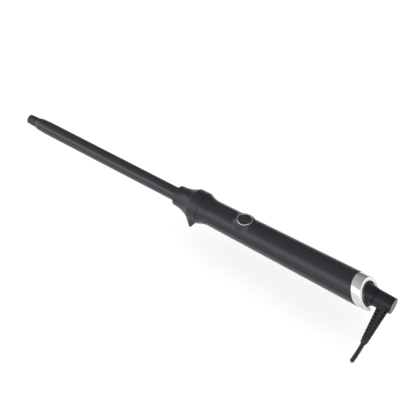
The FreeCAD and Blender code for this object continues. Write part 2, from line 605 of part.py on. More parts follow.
def make_swivel():
    """The elbow turns on a hollow shaft in a plain bush. A clip in the shaft's groove keeps it in."""
    turned("swivel_bush", [
        ("203", "bush_bore"), ("203", "bush_radius"), ("nose_end - 0.3", "bush_radius"),
        ("nose_end - 0.3", "bush_bore")])
    shaft = "bush_bore - gap"
    elbow = turned("elbow_turned", [
        ("shaft_front", "wire_bore"), ("shaft_front", "4.5"), ("200", "4.5"), ("200", shaft),
        ("clip_place", shaft), ("clip_place", "clip_bore"), ("clip_place + 1", "clip_bore"),
        ("clip_place + 1", shaft), ("elbow_front", shaft),
        ("elbow_front", "elbow_radius - 0.5", "-0.5"), ("elbow_front + 0.5", "elbow_radius"),
        ("elbow_end - elbow_edge", "elbow_end_radius", "-elbow_edge"),
        ("elbow_end", "elbow_end_radius - elbow_edge"),
        ("elbow_end", "cap_radius + gap"), ("elbow_end - cap_recess", "cap_radius + gap"),
        ("elbow_end - cap_recess", "4.4"), ("226.5", "4.4"), ("226.5", "wire_bore")])
    throat = along_boot(cylinder("boot_throat", "boot_neck + gap", "20"))
    without("swivel_elbow", elbow, throat)
    seat = "elbow_end - cap_recess"
    turned("elbow_end_cap", [
        (seat + " - 1", "0"), (seat + " - 1", "3.6"), (seat, "3.6"), (seat, "cap_radius"),
        ("elbow_end - 0.3", "cap_radius"), ("elbow_end - 0.1", "cap_radius - 0.2"),
        ("elbow_end - 0.1", "0")])
    clip = without("clip_ring", cylinder("clip_disc", "8.6", "0.8", "clip_place + 0.1", "0", "0", "X"),
                   cylinder("clip_hole", "clip_bore + gap", "2", "clip_place - 0.4", "0", "0", "X"))
    without("retaining_clip", clip, block("clip_mouth", ("200", "203"), ("-3", "3"), ("0", "10")))
    group("slip_rings", [
        without("slip_ring_%d" % index, cylinder("slip_disc_%d" % index, "6", "2.6", x, "0", "0", "X"),
                cylinder("slip_hole_%d" % index, "4.5 + gap / 2", "4", "%s - 0.5" % x, "0", "0", "X"))
        for index, x in enumerate(SLIP_RINGS, start=1)])


def make_contacts():
    """A fixed block round the slip rings, with one leaf spring resting on each ring."""
    disc = fused("contact_blank", cylinder("contact_disc", "12.4", "7.8", "189.4", "0", "0", "X"),
                 cylinder("contact_neck", "ring_bore - 0.2", "10.2", "189.4", "0", "0", "X"))
    sleeve = without("contact_sleeve", disc, cylinder("contact_hole", "6.9", "14", "188", "0", "0", "X"))
    window = block("contact_window", ("190.3", "199"), ("-7.4", "7.4"), ("3", "14"))
    slots = [block("spring_slot_%d" % index, ("%s + 0.28" % x, "%s + 0.32 + leaf_width" % x), ("-9.6", "-7"),
                   ("leaf_height - leaf_thick - 0.07", "leaf_height + 0.12"))
             for index, x in enumerate(SLIP_RINGS, start=1)]
    without("contact_block", sleeve, window, *slots)
    top = number("leaf_height")
    leaves = []
    for index, place_name in enumerate(SLIP_RINGS, start=1):
        x = number(place_name) + 0.3
        upper = [V(x, -9.5, top), V(x, -6.5, top), V(x, 0, 6.35), V(x, 2.5, 6.9)]
        lower = [point - V(0, 0, number("leaf_thick")) for point in reversed(upper)]
        face = Part.Face(Part.makePolygon(upper + lower + upper[:1]))
        leaf = doc.addObject("Part::Feature", "leaf_%d" % index)
        leaf.Shape = face.extrude(V(number("leaf_width"), 0, 0))
        leaves.append(leaf)
    group("contact_springs", leaves)
    wires("supply_wires", [
        [(189.35, side * 8.0, 6.6), (183, side * 6.6, 6.3), (178, side * 4.2, 6.0), (175.5, side * 3.2, 6.0)]
        for side in (-1, 1)], 0.8)


# ---- cord ----------------------------------------------------------------------------------------

def boot_frame():
    """The frame of the boot and cord: its z runs from the elbow's axis out along the boot."""
    heading = FreeCAD.Rotation(V(1, 0, 0), number("boot_turn"))
    return FreeCAD.Placement(V(number("boot_place"), 0, 0), heading)


def along_boot(item, inner=FreeCAD.Placement()):
    """Move a piece that is drawn about the upright axis into the boot's frame."""
    item.Placement = boot_frame().multiply(inner)
    return item


def make_boot():
    """A tapering rubber sleeve with staggered slots on four sides, so that it bends evenly."""
    bore = "cord_radius + gap"
    sleeve = along_boot(turned("boot_sleeve", [
        (bore, "4.8"), ("boot_neck", "4.8"), ("boot_neck", "5.2"), ("boot_root", "5.2"),
        ("boot_root", "boot_start"),
        ("boot_root - boot_slope * (boot_smooth - boot_start)", "boot_smooth"),
        ("cord_radius + 0.7", "boot_end - 0.4"), ("cord_radius + 0.3", "boot_end"),
        (bore, "boot_end")], "V_Axis"))
    elbow_room = turned("elbow_room", [
        ("elbow_front", "0"), ("elbow_front", "elbow_radius + gap"),
        ("elbow_front + 0.5", "elbow_radius + gap"),
        ("elbow_end - elbow_edge", "elbow_end_radius + gap"), ("elbow_end + 6", "elbow_end_radius + gap"),
        ("elbow_end + 6", "0")])
    saddle = without("boot_saddle", elbow_room, along_boot(cylinder("neck_keep", "boot_neck", "20")))
    slots = []
    for step in range(9):
        for side in range(4):
            slot = doc.addObject("Part::Box", "slot_%d_%d" % (step + 1, side + 1))
            bind(slot, Length="boot_root", Width="slot_span", Height="slot_width")
            height = number("slot_first") + number("slot_pitch") * (step + 0.5 * (side % 2))
            spin = FreeCAD.Rotation(V(0, 0, 1), number("slot_turn") + 90 * side)
            corner = V(number("slot_core"), -number("slot_span") / 2, height)
            slots.append(along_boot(slot, FreeCAD.Placement(spin.multVec(corner), spin)))
    without("cord_boot", sleeve, saddle, *slots)


def cord_path(start, end, offset, in_shaft=False):
    """The cord's line in the boot's frame: from the shaft round the elbow, straight through the boot,
    then in a wide arc towards the handle. start and end are lengths from the elbow's axis."""
    turn, bend = 4.0, number("cord_bend")
    leave = number("boot_end") + 0.5
    edges = []
    if in_shaft:
        mid = turn * (1 - math.sqrt(0.5))
        inside = V(193 - number("boot_place"), offset, 0)
        edges.append(Part.LineSegment(inside, V(-turn, offset, 0)).toShape())
        edges.append(Part.Arc(V(-turn, offset, 0), V(-mid, offset, mid), V(0, offset, turn)).toShape())
        start = turn
    if start < leave:
        edges.append(Part.LineSegment(V(0, offset, start), V(0, offset, leave)).toShape())
    spots = []
    for share in (0, 0.5, 1):
        angle = (max(start, leave) - leave + share * (end - max(start, leave))) / bend
        spots.append(V(bend * (math.cos(angle) - 1), offset, leave + bend * math.sin(angle)))
    edges.append(Part.Arc(*spots).toShape())
    return Part.Wire(edges)


def make_cord():
    """A stub of the cord, cut where it would run on to the plug, with its cores bared at the cut."""
    cut_end = number("cord_end")
    offsets = (-number("core_place"), number("core_place"))
    jacket = doc.addObject("Part::Feature", "cord_jacket")
    core_end = cut_end + number("core_length")
    bores = [round_bar(cord_path(3, cut_end + 1, offset), number("core_radius") + 0.03)
             for offset in offsets]
    jacket.Shape = round_bar(cord_path(5.5, cut_end, 0), number("cord_radius")).cut(bores)
    cores = doc.addObject("Part::Feature", "cord_cores")
    cores.Shape = Part.makeCompound([
        round_bar(cord_path(0, core_end, offset, in_shaft=True), number("core_radius"))
        for offset in offsets])
    coppers = doc.addObject("Part::Feature", "cord_conductors")
    coppers.Shape = Part.makeCompound([
        round_bar(cord_path(core_end + 0.02, core_end + number("copper_length"), offset),
                  number("copper_radius"))
        for offset in offsets])
    for item in (jacket, cores, coppers):
        along_boot(item)


# ---- build, check and write ----------------------------------------------------------------------

PIECES = [
    "barrel_tube", "cool_tip", "barrel_guard", "barrel_socket", "guard_screws", "heater_strip",
    "heat_spreader_upper", "heat_spreader_lower", "thermistor", "thermal_fuse", "heater_leads",
    "handle_upper_shell", "handle_lower_shell", "housing_screws", "button_ring", "button_cap",
    "tactile_switch", "switch_plunger", "board_carrier", "circuit_board", "board_screws", "status_led",
    "microcontroller", "buzzer", "triac", "triac_heatsink", "film_capacitor", "mains_fuse",
    "terminal_block", "supply_wires", "end_ring", "end_insert", "swivel_bush", "swivel_elbow",
    "elbow_end_cap", "retaining_clip", "slip_rings", "contact_block", "contact_springs", "cord_boot",
    "cord_jacket", "cord_cores", "cord_conductors"]

make_barrel()
make_cool_tip()
make_guard()
make_socket()
make_heater()
make_upper_shell()
make_lower_shell()
make_button()
make_board()
make_components()
make_end_ring()
make_insert()
make_swivel()
make_contacts()
make_boot()
make_cord()
doc.recompute()

for item in doc.Objects:
    if "Invalid" in item.State or "Error" in item.State:
        raise RuntimeError("%s failed to build: %s" % (item.Label, item.State))

os.makedirs("parts", exist_ok=True)
for name in PIECES:
    shape = doc.getObject(name).Shape
    if shape.isNull() or not shape.isValid() or not shape.Solids:
        raise RuntimeError("%s has no valid solid" % name)

for name in PIECES:
    doc.getObject(name).Shape.exportStep(os.path.join("parts", name + ".step"))
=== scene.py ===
import json
import math

import bmesh
import bpy
from mathutils import Matrix, Quaternion, Vector


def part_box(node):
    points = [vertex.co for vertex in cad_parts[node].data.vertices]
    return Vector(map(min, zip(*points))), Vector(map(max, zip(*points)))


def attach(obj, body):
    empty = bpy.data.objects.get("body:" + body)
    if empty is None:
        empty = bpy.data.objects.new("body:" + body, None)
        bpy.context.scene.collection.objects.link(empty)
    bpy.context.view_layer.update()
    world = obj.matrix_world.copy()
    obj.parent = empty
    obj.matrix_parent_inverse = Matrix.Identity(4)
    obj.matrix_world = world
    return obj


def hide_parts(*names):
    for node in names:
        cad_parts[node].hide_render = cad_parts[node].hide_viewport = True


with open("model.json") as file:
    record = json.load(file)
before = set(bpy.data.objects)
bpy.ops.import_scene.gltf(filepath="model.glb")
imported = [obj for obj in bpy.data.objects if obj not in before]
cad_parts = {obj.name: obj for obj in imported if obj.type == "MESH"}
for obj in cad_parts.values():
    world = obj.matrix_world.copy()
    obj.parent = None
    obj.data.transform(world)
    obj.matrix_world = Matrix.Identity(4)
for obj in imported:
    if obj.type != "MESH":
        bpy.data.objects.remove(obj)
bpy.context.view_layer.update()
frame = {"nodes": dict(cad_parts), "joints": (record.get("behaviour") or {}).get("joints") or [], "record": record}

MM = 0.001
nodes = frame["nodes"]
COLOURS = {row["slot"]: row["base_color"] for row in frame["record"]["materials"]}
SLOT_OF = {row["node"]: row["material_slot"] for row in frame["record"]["subparts"]}


# ---- measures, in millimetres, taken from the frame ----------------------------------------------

def low(node):
    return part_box(node)[0] / MM


def high(node):
    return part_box(node)[1] / MM


BARREL_R = high("barrel_tube").z
BARREL_FRONT = low("barrel_tube").x
BARREL_REAR = high("barrel_tube").x
BARREL_BORE, BARREL_ROOT_R = 5.7, 6.8
TIP_FACE = low("cool_tip").x
GUARD_REAR = high("barrel_guard").x
BUTTON_X = (low("button_ring").x + high("button_ring").x) / 2
BUTTON_R = (high("button_ring").x - low("button_ring").x) / 2
SLANT = 0.485                                   # how far the chrome ring leans back for each mm down
RING_R, RING_BORE, RING_WIDTH = high("end_ring").z, 11.2, 9.2
RING_FRONT = low("end_ring").x + SLANT * RING_R
NOSE_REAR = high("end_insert").x
SHAFT_FRONT = low("swivel_elbow").x
ELBOW_REAR = high("swivel_elbow").x
SWIVEL_JOINT = [joint for joint in frame["joints"] if joint["name"] == "cord_swivel"][0]
SWIVEL_PLACE = SWIVEL_JOINT["pos_m"][0] / MM
CORD_LOW = low("cord_conductors").z


# ---- curves --------------------------------------------------------------------------------------

def smooth_step(value, start, stop):
    share = min(1.0, max(0.0, (value - start) / (stop - start)))
    return share * share * (3 - 2 * share)


def smooth_max(first, second, blend):
    """The larger of two values, rounded over where they are nearly equal."""
    share = max(0.0, blend - abs(first - second)) / blend
    return max(first, second) + share * share * blend / 4


def smooth_min(first, second, blend):
    return -smooth_max(-first, -second, blend)


def span(start, stop, step):
    """Evenly spaced values from start to stop, both included, about a step apart."""
    count = max(1, round(abs(stop - start) / step))
    return [start + (stop - start) * index / count for index in range(count + 1)]


def rounded(corners, steps=6):
    """A profile through (x, r, radius) corners, each one rounded off by an arc of its radius."""
    profile = []
    for index, corner in enumerate(corners):
        here = Vector(corner[:2])
        radius = corner[2] if len(corner) > 2 else 0
        if not radius or index in (0, len(corners) - 1):
            profile.append(here)
            continue
        before = Vector(corners[index - 1][:2]) - here
        after = Vector(corners[index + 1][:2]) - here
        half = before.angle(after) / 2
        reach = min(radius / math.tan(half), before.length * 0.49, after.length * 0.49)
        start, stop = here + before.normalized() * reach, here + after.normalized() * reach
        centre = here + (before.normalized() + after.normalized()).normalized() * (reach / math.cos(half))
        first, last = start - centre, stop - centre
        turn = first.angle_signed(last)
        for step in range(steps + 1):
            spin = Matrix.Rotation(-turn * step / steps, 2)
            profile.append(centre + spin @ first)
    return profile


# ---- meshes --------------------------------------------------------------------------------------

def make_object(name, vertices, faces, material, sharp=35.0):
    """A smooth-shaded piece, given in millimetres, with sharp edges where the surface turns hard."""
    mesh = bpy.data.meshes.new(name)
    mesh.from_pydata([Vector(vertex) * MM for vertex in vertices], [], faces)
    tidy = bmesh.new()
    tidy.from_mesh(mesh)
    bmesh.ops.remove_doubles(tidy, verts=tidy.verts, dist=1e-7)
    bmesh.ops.dissolve_degenerate(tidy, dist=1e-7, edges=tidy.edges)
    bmesh.ops.recalc_face_normals(tidy, faces=tidy.faces)
    tidy.to_mesh(mesh)
    tidy.free()
    mesh.shade_smooth()
    mesh.set_sharp_from_angle(angle=math.radians(sharp))
    obj = bpy.data.objects.new(name, mesh)
    bpy.context.scene.collection.objects.link(obj)
    mesh.materials.append(material)
    return obj


def grid_faces(rows, columns, wrap_rows=False, wrap_columns=True, start=0):
    """Quads over a grid of vertices, closed round either way if wanted."""
    faces = []
    for row in range(rows if wrap_rows else rows - 1):
        for column in range(columns if wrap_columns else columns - 1):
            below, beside = (row + 1) % rows, (column + 1) % columns
            faces.append((start + row * columns + column, start + row * columns + beside,
                          start + below * columns + beside, start + below * columns + column))
    return faces


def on_circle(x, radius, turn):
    """A point at an angle about the wand's axis, measured from the button's side towards the near side."""
    return (x, -radius * math.sin(turn), radius * math.cos(turn))


def even_turns(count):
    return [2 * math.pi * step / count for step in range(count)]


def circle(x, radius, count):
    """A row of points round the wand's axis."""
    return [on_circle(x, radius, turn) for turn in even_turns(count)]


def lathe(name, profile, material, closed=False, count=128, sharp=35.0):
    """A profile of (x, r) turned about the wand's axis. A radius of zero closes an end."""
    vertices = [point for x, radius in profile for point in circle(x, max(radius, 0), count)]
    return make_object(name, vertices, grid_faces(len(profile), count, wrap_rows=closed), material, sharp)


def ride(obj, body, slot, *replaced):
    """Put a finished piece on its body and hide the CAD nodes it stands for; the slot argument is not used."""
    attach(obj, body)
    if replaced:
        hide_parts(*replaced)
    return obj


def cut_with(obj, cutter):
    """Take the cutter's shape out of the object and drop the cutter."""
    modifier = obj.modifiers.new("cut", "BOOLEAN")
    modifier.object = cutter
    modifier.solver = "MANIFOLD"
    bake(obj)
    bpy.data.objects.remove(cutter)


def bake(obj):
    """Turn the object's modifiers into its mesh."""
    graph = bpy.context.evaluated_depsgraph_get()
    mesh = bpy.data.meshes.new_from_object(obj.evaluated_get(graph))
    obj.modifiers.clear()
    obj.data = mesh


def soften(obj, width_mm, angle):
    """Round off the edges that turn by more than an angle."""
    bevel = obj.modifiers.new("soften", "BEVEL")
    bevel.width = width_mm * MM
    bevel.segments = 2
    bevel.limit_method = "ANGLE"
    bevel.angle_limit = math.radians(angle)
    bevel.harden_normals = False
    bake(obj)
    obj.data.shade_smooth()
    obj.data.set_sharp_from_angle(angle=math.radians(50))


def upright_rod(radius, bottom, top, x, count=96):
    """A plain cutter for round holes that run up and down through the axis."""
    vertices = [(x + radius * math.cos(turn), radius * math.sin(turn), z)
                for z in (bottom, top) for turn in even_turns(count)]
    faces = grid_faces(2, count)
    faces.append(tuple(range(count)))
    faces.append(tuple(range(count, 2 * count)))
    return make_object("cutter", vertices, faces, None)


def box_cutter(xs, ys, zs):
    """A plain cutter with flat sides, from its limits along each axis."""
    vertices = [(x, y, z) for x in xs for y in ys for z in zs]
    faces = [(0, 1, 3, 2), (4, 6, 7, 5), (0, 4, 5, 1), (2, 3, 7, 6), (0, 2, 6, 4), (1, 5, 7, 3)]
    return make_object("cutter", vertices, faces, None)


# ---- materials -----------------------------------------------------------------------------------

class Shader:
    """A small helper round one material's node tree."""

    def __init__(self, name):
        self.material = bpy.data.materials.new(name)
        self.material.use_nodes = True
        self.nodes = self.material.node_tree.nodes
        self.links = self.material.node_tree.links
        self.surface = self.nodes["Principled BSDF"]
        self.place = self.nodes.new("ShaderNodeTexCoord").outputs["Object"]

    def node(self, kind, **settings):
        made = self.nodes.new(kind)
        for name, value in settings.items():
            setattr(made, name, value)
        return made

    def put(self, target, value):
        """Set a socket, or link another socket into it."""
        if isinstance(value, bpy.types.NodeSocket):
            self.links.new(value, target)
        else:
            target.default_value = value

    def noise(self, size_mm, detail=3.0, rough=0.5, stretch=(1, 1, 1)):
        """Noise whose lumps are about size_mm across."""
        mapping = self.node("ShaderNodeMapping")
        self.put(mapping.inputs["Vector"], self.place)
        mapping.inputs["Scale"].default_value = [share / (size_mm * MM) for share in stretch]
        noise = self.node("ShaderNodeTexNoise")
        self.put(noise.inputs["Vector"], mapping.outputs["Vector"])
        noise.inputs["Scale"].default_value = 1.0
        noise.inputs["Detail"].default_value = detail
        noise.inputs["Roughness"].default_value = rough
        return noise.outputs["Fac"]

    def spread(self, value, low_in, high_in, low_out, high_out):
        """Map a value from one range to another."""
        ramp = self.node("ShaderNodeMapRange")
        self.put(ramp.inputs["Value"], value)
        ramp.inputs["From Min"].default_value = low_in
        ramp.inputs["From Max"].default_value = high_in
        ramp.inputs["To Min"].default_value = low_out
        ramp.inputs["To Max"].default_value = high_out
        return ramp.outputs["Result"]

    def mix(self, share, first, second):
        """A colour between two others."""
        blend = self.node("ShaderNodeMix", data_type="RGBA")
        self.put(blend.inputs["Factor"], share)
        self.put(blend.inputs["A"], first)
        self.put(blend.inputs["B"], second)
        return blend.outputs["Result"]

    def edges(self, radius_mm):
        """A value that is near one on convex edges, for wear."""
        bevel = self.node("ShaderNodeBevel", samples=4)
        bevel.inputs["Radius"].default_value = radius_mm * MM
        shape = self.node("ShaderNodeNewGeometry")
        dot = self.node("ShaderNodeVectorMath", operation="DOT_PRODUCT")
        self.put(dot.inputs[0], bevel.outputs["Normal"])
        self.put(dot.inputs[1], shape.outputs["Normal"])
        return self.spread(dot.outputs["Value"], 0.995, 0.86, 0.0, 1.0)

    def bump(self, height, strength, distance_mm):
        bump = self.node("ShaderNodeBump")
        bump.inputs["Strength"].default_value = strength
        bump.inputs["Distance"].default_value = distance_mm * MM
        self.put(bump.inputs["Height"], height)
        self.put(self.surface.inputs["Normal"], bump.outputs["Normal"])


def shade(colour, factor):
    return tuple(min(1.0, channel * factor) for channel in colour[:3]) + (1.0,)


COOL_TINT = (0.94, 0.92, 1.0, 1.0)


def moulded(name, colour, rough, grain_mm=0.25, grain=0.12, wear=0.35, specular=0.5):
    """Moulded plastic or rubber: fine grain, faint cloudiness, rubbed edges and marks in the gloss."""
    shader = Shader(name)
    patches = shader.spread(shader.noise(14, 4), 0.35, 0.65, 0, 1)
    cloud = shader.mix(patches, shade(colour, 0.92), shade(colour, 1.1))
    rubbed = tuple(channel * (1 + wear) + 0.012 * wear for channel in colour[:3]) + (1.0,)
    shader.put(shader.surface.inputs["Base Color"], shader.mix(shader.edges(0.3), cloud, rubbed))
    marks = shader.spread(shader.noise(6, 5, 0.6), 0.3, 0.7, rough - 0.04, rough + 0.05)
    shader.put(shader.surface.inputs["Roughness"], marks)
    shader.surface.inputs["Specular IOR Level"].default_value = specular
    shader.surface.inputs["Specular Tint"].default_value = COOL_TINT
    shader.bump(shader.noise(grain_mm, 2), grain, 0.03)
    return shader.material


def polished(name, colour, rough, index):
    """Moulded plastic with a polish: a high refractive index makes it mirror more."""
    material = moulded(name, colour, rough, grain_mm=0.8, grain=0.02, wear=0.3)
    material.node_tree.nodes["Principled BSDF"].inputs["IOR"].default_value = index
    return material


def metal(name, colour, rough, streak=(1, 1, 1), smudge=0.03, grain=0.02):
    """Metal with faint streaks and smudges in its polish."""
    shader = Shader(name)
    tone = shader.spread(shader.noise(9, 4, 0.6), 0.3, 0.7, 0, 1)
    shader.put(shader.surface.inputs["Base Color"], shader.mix(tone, shade(colour, 0.93), shade(colour, 1.0)))
    shader.surface.inputs["Metallic"].default_value = 1.0
    polish = shader.spread(shader.noise(3, 4, 0.6, streak), 0.3, 0.7, rough, rough + smudge)
    shader.put(shader.surface.inputs["Roughness"], polish)
    shader.bump(shader.noise(0.6, 3, 0.5, streak), grain, 0.02)
    return shader.material


def slot_colour(slot):
    return tuple(COLOURS[slot][:3])


BLACK = (0.006, 0.006, 0.0085)

LOOKS = {
    "barrel_coat": moulded("barrel_coat", (0.006, 0.006, 0.008), rough=0.17,
                           grain_mm=0.12, grain=0.02, wear=0.5, specular=0.55),
    "heatproof_plastic": moulded("heatproof_plastic", BLACK, rough=0.34,
                                 grain_mm=0.22, grain=0.1, wear=0.6, specular=0.45),
    "soft_touch": moulded("soft_touch", BLACK, rough=0.28,
                          grain_mm=0.18, grain=0.06, wear=0.3, specular=0.47),
    "gloss_black": moulded("gloss_black", (0.009, 0.009, 0.012), rough=0.25,
                           grain_mm=0.8, grain=0.03, wear=0.3),
    "polished_black": polished("polished_black", (0.012, 0.012, 0.015), rough=0.16, index=1.75),
    "chrome_trim": metal("chrome_trim", (0.63, 0.63, 0.645), rough=0.1),
    "satin_chrome": metal("satin_chrome", (0.5, 0.5, 0.51), rough=0.42),
    "swivel_black": moulded("swivel_black", BLACK, rough=0.3,
                            grain_mm=0.3, grain=0.06, wear=0.4, specular=0.24),
    "end_grey": moulded("end_grey", (0.085, 0.085, 0.088), rough=0.42,
                        grain_mm=0.3, grain=0.08, wear=0.3, specular=0.4),
    "cord_rubber": moulded("cord_rubber", (0.005, 0.005, 0.0075), rough=0.42,
                           grain_mm=0.2, grain=0.15, wear=0.5, specular=0.35),
    "copper": metal("copper", slot_colour("copper"), rough=0.25),
    "brass_contacts": metal("brass_contacts", slot_colour("brass_contacts"), rough=0.25, streak=(1, 6, 6)),
    "spring_steel": metal("spring_steel", slot_colour("spring_steel"), rough=0.3, streak=(1, 5, 5)),
    "spreader_aluminium": metal("spreader_aluminium", slot_colour("spreader_aluminium"), rough=0.35,
                                streak=(0.1, 4, 4)),
    "tin_metal": metal("tin_metal", slot_colour("tin_metal"), rough=0.3),
}
for slot in COLOURS:
    if slot not in LOOKS:
        LOOKS[slot] = moulded(slot, slot_colour(slot), rough=0.45)
for name, obj in nodes.items():
    obj.data.materials.clear()
    obj.data.materials.append(LOOKS[SLOT_OF[name]])


# ---- barrel and tip ------------------------------------------------------------------------------

def make_barrel():
    """The bare tube, whose shoulder rounds down to the cool tip."""
    mouth_r, face_r, shoulder_r, shoulder_x = 4.2, 5.45, 6.5, BARREL_FRONT + 4
    straight_from = -170
    shoulder = [(BARREL_FRONT, mouth_r), (BARREL_FRONT, face_r, 0.3), (shoulder_x, shoulder_r, 6),
                (straight_from, BARREL_R, 30)]
    root = [(-1, BARREL_R), (0, BARREL_R, 0.1), (0, BARREL_ROOT_R), (BARREL_REAR, BARREL_ROOT_R)]
    bore = [(BARREL_REAR, BARREL_BORE), (BARREL_FRONT + 3, BARREL_BORE), (BARREL_FRONT, mouth_r)]
    profile = rounded(shoulder + root + bore)
    ride(lathe("barrel_skin", profile, LOOKS["barrel_coat"]), "handle", "barrel_coat", "barrel_tube")


def make_tip():
    """The cool tip: a dished face, a slight swell towards the barrel and a plug inside it."""
    root, dish, plug = BARREL_FRONT - 0.05, 0.25, 9
    face = [(TIP_FACE + dish, 0), (TIP_FACE + dish, 2.6), (TIP_FACE, 3.2, 0.4), (TIP_FACE, 4.95, 1.1)]
    side = [(TIP_FACE + 2, 5.0, 8), (root - 0.5, 5.4, 0.6), (root, 5.3)]
    hidden = [(root, 4.0), (root + plug, 3.9), (root + plug, 0)]
    profile = rounded(face + side + hidden, 8)
    ride(lathe("tip_skin", profile, LOOKS["heatproof_plastic"]), "handle", "heatproof_plastic", "cool_tip")


# ---- guard ---------------------------------------------------------------------------------------

FOOT_ANGLE, FOOT_REACH, FOOT_CORNER = math.radians(135), 22.2, 1.2
FOOT_START, FOOT_PLACE, FOOT_RUN, FOOT_FALL = 16.9, 26.4, 8.1, 3.6
GUARD_BASE = -15.7
COLLAR_R, COLLAR_END, FLARE_ARC = 10.25, 3.5, 42.0
BAND_FRONT, BAND_R, CAVITY_R = 21.3, 15.95, 13.2


def foot_reach(x):
    """How far a foot's tip stands from the axis at a place along the guard."""
    front_sunk, rear_sunk = 1.7, 1.0
    rise = FOOT_REACH - BAND_R
    front = BAND_R - front_sunk + (x - FOOT_START) * (rise + front_sunk) / FOOT_RUN
    rear = FOOT_REACH - (x - FOOT_PLACE) * (rise + rear_sunk) / FOOT_FALL
    return smooth_min(smooth_min(front, rear, 0.8), FOOT_REACH, 0.5)


def foot_radius(core, reach, away):
    """The radius, at an angle from a foot's middle, of its corner circle and tangents to the core."""
    if reach <= core + 0.02:
        return core
    corner = min(FOOT_CORNER, (reach - core) * 0.9)
    distance = reach - corner
    if distance <= core - corner:
        return core
    tangent = math.acos((core - corner) / distance)
    spot = Vector((distance + corner * math.cos(tangent), corner * math.sin(tangent)))
    edge = math.atan2(spot.y, spot.x)
    if away < edge:
        return distance * math.cos(away) + math.sqrt(max(0, corner ** 2 - (distance * math.sin(away)) ** 2))
    if away < tangent:
        return core / math.cos(tangent - away)
    return core


def guard_profile():
    """The guard's round outline: a collar, a flare that hollows outwards and a straight band."""
    start, stop = Vector((COLLAR_END, COLLAR_R + 0.12)), Vector((BAND_FRONT - 0.3, BAND_R - 0.15))
    chord = stop - start
    side = Vector((-chord.y, chord.x)).normalized() * math.sqrt(FLARE_ARC ** 2 - chord.length ** 2 / 4)
    centre = (start + stop) / 2 + side
    flare = [(x, centre.y - math.sqrt(FLARE_ARC ** 2 - (x - centre.x) ** 2))
             for x in span(COLLAR_END, BAND_FRONT - 0.3, 0.5)]
    collar = rounded([(0, BARREL_R + 0.05), (0, COLLAR_R, 1.3), tuple(start)], 8)
    band = rounded([tuple(stop), (BAND_FRONT, BAND_R, 0.5), (GUARD_REAR, BAND_R, 0.7),
                    (GUARD_REAR, CAVITY_R)], 5)
    straight = [(x, BAND_R) for x in span(BAND_FRONT + 0.6, GUARD_REAR - 0.8, 0.4)]
    return collar[:-1] + flare + band[1:2] + straight + band[7:]


def guard_radius(x, core, turn):
    """The guard's radius at a place: its round core, swelled by the feet and cut level by the base."""
    feet_front, feet_rear = 15.5, 30.6
    radius, reach = core, foot_reach(x)
    if feet_front < x < feet_rear and reach > core - 0.6:
        away = abs(min(turn, 2 * math.pi - turn) - FOOT_ANGLE)
        radius = smooth_max(core, foot_radius(core - 0.25, reach, away), 0.5)
    down = -math.cos(turn)
    if down > 0.2:
        radius = smooth_min(radius, -GUARD_BASE / down + 0.02, 0.15)
    return radius


def make_guard():
    """The guard with its two blended feet and flat base, and a plain cavity behind."""
    columns = 540
    outer = guard_profile()
    vertices = [on_circle(x, guard_radius(x, core, turn), turn)
                for x, core in outer for turn in even_turns(columns)]
    inner = [(20, CAVITY_R), (16.5, 11.6), (9, 9.2), (2.5, 8.3), (2.5, BARREL_R + 0.05)]
    for x, radius in inner:
        vertices += circle(x, radius, columns)
    faces = grid_faces(len(outer) + len(inner), columns, wrap_rows=True)
    skin = make_object("guard_skin", vertices, faces, LOOKS["heatproof_plastic"], 40)
    ride(skin, "handle", "heatproof_plastic", "barrel_guard")


# ---- handle shells -------------------------------------------------------------------------------

NECK_R, NECK_X, NECK_ARC, TAPER = 12.9, 44.0, 25.0, 0.0118
SEAM_Z, SEAM_X, SEAM_ARC, SEAM_GAP = 1.75, 52.0, 14.3, 0.5
SEAT_TOP, SEAT_R, SEAT_FOOT, CROWN_R = 14.05, 8.1, 11.2, 40.0
REAR_START, WALL = 190.0, 1.8
SCREW_PLACES, SCREW_RECESS_R = (57.0, 185.2), 2.6


def handle_radius(x):
    """The handle's outside: a hollow flare at the front, then a slow taper."""
    if x > NECK_X:
        return NECK_R + TAPER * (x - NECK_X)
    brow, edge = Vector((GUARD_REAR + 0.6, BAND_R - 0.25)), 0.5
    if x < brow.x:
        return brow.y - edge + math.sqrt(max(0, edge ** 2 - (brow.x - x) ** 2))
    half = (Vector((NECK_X, NECK_R)) - brow) / 2
    outward = Vector((-half.y, half.x)).normalized()
    centre = brow + half + outward * math.sqrt(NECK_ARC ** 2 - half.length ** 2)
    return centre.y - math.sqrt(NECK_ARC ** 2 - (x - centre.x) ** 2)


def seam_height(x, gap):
    """The height of the parting line, which curves down and forward at its front."""
    if x >= SEAM_X:
        return SEAM_Z + gap
    return SEAM_Z - SEAM_ARC + math.sqrt(max(0, (SEAM_ARC + gap) ** 2 - (SEAM_X - x) ** 2))


def seam_turn(x, gap):
    """The angle at which the parting line meets the handle's outside."""
    return math.acos(max(-1, min(1, seam_height(x, gap) / handle_radius(x))))


def crown(y, height):
    """The gentle crown of the button's seat, across the handle."""
    return height - CROWN_R + math.sqrt(CROWN_R ** 2 - y * y)


def shell_point(x, turn):
    """A point of the handle's outside, raised to the button's seat near the button."""
    point = Vector(on_circle(x, handle_radius(x), turn))
    away = math.hypot(x - BUTTON_X, point.y)
    if point.z > 0 and away < SEAT_FOOT:
        share = 1 - smooth_step(away, SEAT_R, SEAT_FOOT)
        point.z += (crown(point.y, SEAT_TOP) - point.z) * share
    return point


def shell_rows(front):
    """Places along the shell, close together where it curves and near the button."""
    near = span(BUTTON_X - 13, BUTTON_X + 13, 0.4)
    before = span(front, SEAM_X, 0.4) + span(SEAM_X, near[0], 0.8)[1:]
    return before + near[1:] + span(near[-1], REAR_START, 2.5)[1:]


